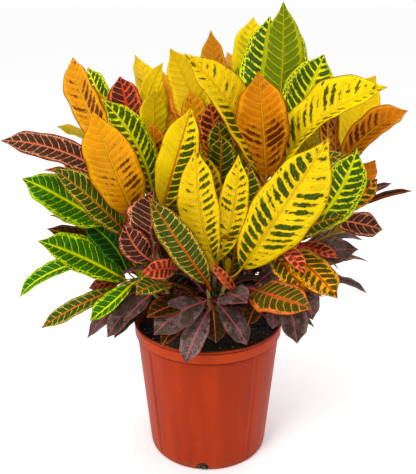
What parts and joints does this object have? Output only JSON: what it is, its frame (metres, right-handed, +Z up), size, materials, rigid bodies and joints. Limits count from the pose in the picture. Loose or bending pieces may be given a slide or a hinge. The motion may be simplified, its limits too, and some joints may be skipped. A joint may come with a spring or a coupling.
{
  "type": "potted croton",
  "caption": "Bushy croton with broad pointed leaves in yellow, amber, green and plum, growing on branched canes in a tapered plastic nursery pot.",
  "frame": {"origin": "centre of the pot's base on the surface it stands on", "axes": "+Z up; the pictured front looks towards -Y"},
  "size_m": [0.6403, 0.4979, 0.75],
  "materials": {
    "pot_plastic": "satin moulded polypropylene in terracotta red, with a rolled lip and fine scuffs",
    "soil": "damp dark bark and peat mix with white perlite grains and a trace of moss",
    "croton_foliage": "leathery leaves with pale midribs and looping side veins, yellow, amber, green, red or plum by age, on green-brown stems"
  },
  "bodies": {
    "root": {"pot": "pot_plastic", "soil": "soil", "cane_left": "croton_foliage", "cane_back_left": "croton_foliage", "cane_front": "croton_foliage", "cane_tall": "croton_foliage", "cane_right": "croton_foliage", "cane_back": "croton_foliage"}
  },
  "joints": []
}
